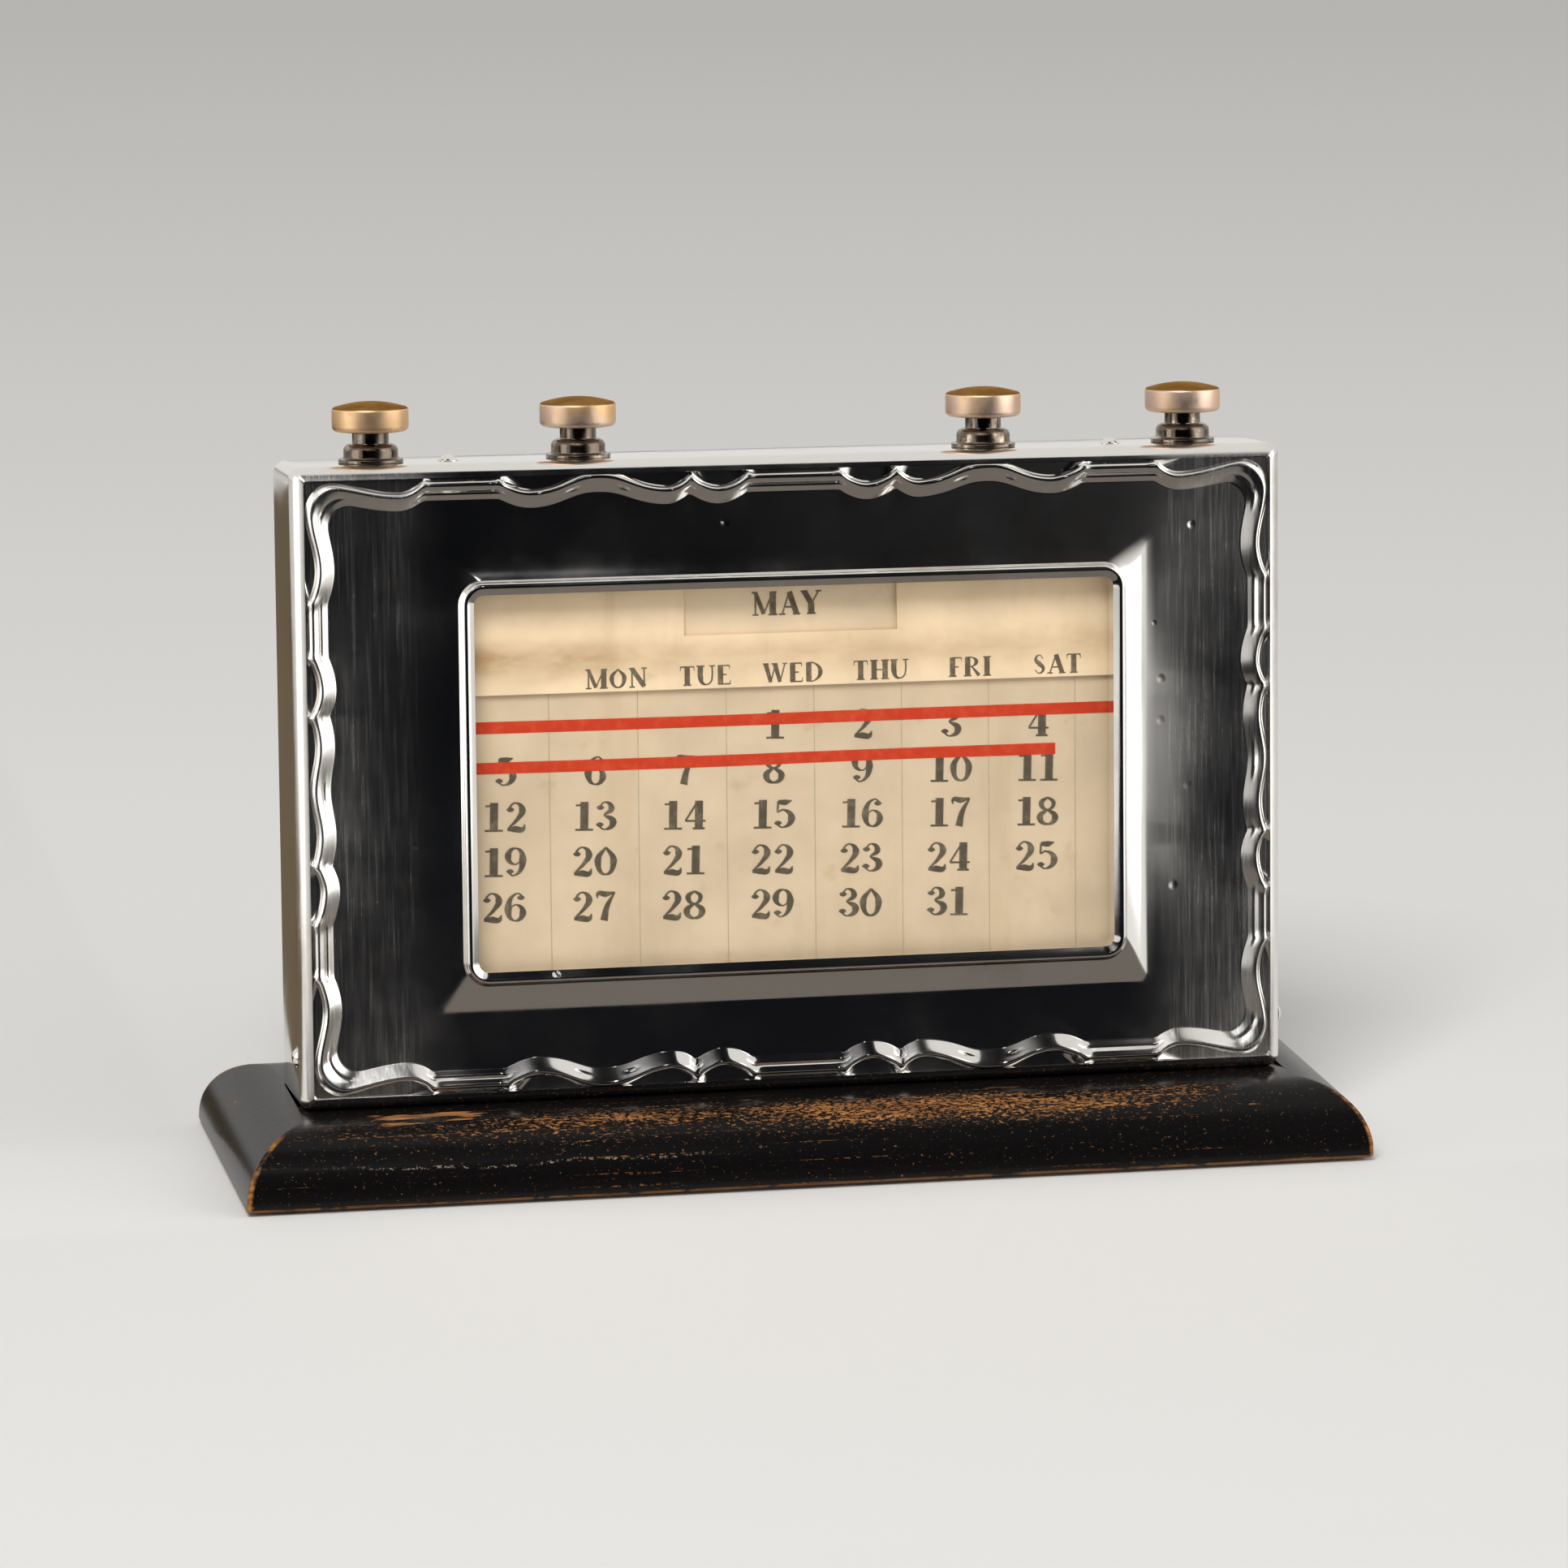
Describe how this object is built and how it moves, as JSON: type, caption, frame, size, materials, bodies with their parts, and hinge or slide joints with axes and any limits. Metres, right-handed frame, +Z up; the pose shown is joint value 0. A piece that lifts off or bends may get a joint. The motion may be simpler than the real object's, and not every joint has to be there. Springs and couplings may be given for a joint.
{
  "type": "desk calendar",
  "caption": "Perpetual desk calendar: a silver-fronted case leans back on a moulded wooden plinth, and knobs on top wind printed paper past its window.",
  "frame": {"origin": "centre of the underside, on the surface that the calendar stands on", "axes": "+X to the right along the case, +Y to the back, +Z up; the front faces -Y"},
  "size_m": [0.142, 0.043, 0.0947],
  "materials": {
    "silver": "polished silver with fine scratches and small dents",
    "gilt_brass": "turned brass with worn gilding",
    "bronzed_brass": "darkened turned brass",
    "brass": "plain brass",
    "steel": "bright drawn steel",
    "ebonised_wood": "black polish, worn to brown on the upper edges",
    "carcass_wood": "plain beech",
    "paper": "aged cream paper with printed numerals",
    "card": "aged cream card with printed weekdays",
    "glass": "clear",
    "baize": "short-nap green baize",
    "fibre": "red vulcanised fibre"
  },
  "bodies": {
    "case": {"plinth": "ebonised_wood", "back_cover": "ebonised_wood", "base_baize": "baize", "front_cover": "silver", "cover_pins": "silver", "glass_clips": "silver", "window_glass": "glass", "header_card": "card", "date_sheet": "paper", "month_strip": "paper", "top_rail": "carcass_wood", "bottom_rail": "carcass_wood", "left_stile": "carcass_wood", "right_stile": "carcass_wood", "carcass_dowels": "carcass_wood", "plinth_screws": "steel", "back_cover_screws": "brass", "bracket_screws": "brass", "month_left_bracket": "brass", "month_right_bracket": "brass", "friction_washers": "fibre", "date_left_collar": "bronzed_brass", "date_left_pivot_bush": "brass", "date_right_collar": "bronzed_brass", "date_right_pivot_bush": "brass", "month_left_collar": "bronzed_brass", "month_left_pivot_bush": "brass", "month_right_collar": "bronzed_brass", "month_right_pivot_bush": "brass"},
    "date_left_roller": {"date_left_knob": "gilt_brass", "date_left_spindle": "steel", "date_left_core": "carcass_wood", "date_left_roll": "paper"},
    "date_right_roller": {"date_right_knob": "gilt_brass", "date_right_spindle": "steel", "date_right_core": "carcass_wood", "date_right_roll": "paper"},
    "month_left_roller": {"month_left_knob": "gilt_brass", "month_left_spindle": "steel", "month_left_core": "carcass_wood", "month_left_roll": "paper"},
    "month_right_roller": {"month_right_knob": "gilt_brass", "month_right_spindle": "steel", "month_right_core": "carcass_wood", "month_right_roll": "paper"}
  },
  "joints": [
    {"name": "date_left_turn", "type": "hinge", "parent": "case", "child": "date_left_roller", "pos_m": [-0.0515, -0.00244, 0.00857], "axis": [0, 0.1045, 0.9945], "range_deg": [-607, 607]},
    {"name": "date_right_turn", "type": "hinge", "parent": "case", "child": "date_right_roller", "pos_m": [0.0515, -0.00244, 0.00857], "axis": [0, 0.1045, 0.9945], "range_deg": [-607, 607]},
    {"name": "month_left_turn", "type": "hinge", "parent": "case", "child": "month_left_roller", "pos_m": [-0.0257, -0.00244, 0.00857], "axis": [0, 0.1045, 0.9945], "range_deg": [-3447, 1970]},
    {"name": "month_right_turn", "type": "hinge", "parent": "case", "child": "month_right_roller", "pos_m": [0.0257, -0.00244, 0.00857], "axis": [0, 0.1045, 0.9945], "range_deg": [-3447, 1970]}
  ],
  "couplings": [
    {"joint": "date_right_turn", "follows": "date_left_turn", "ratio": 1},
    {"joint": "month_right_turn", "follows": "month_left_turn", "ratio": 1}
  ]
}
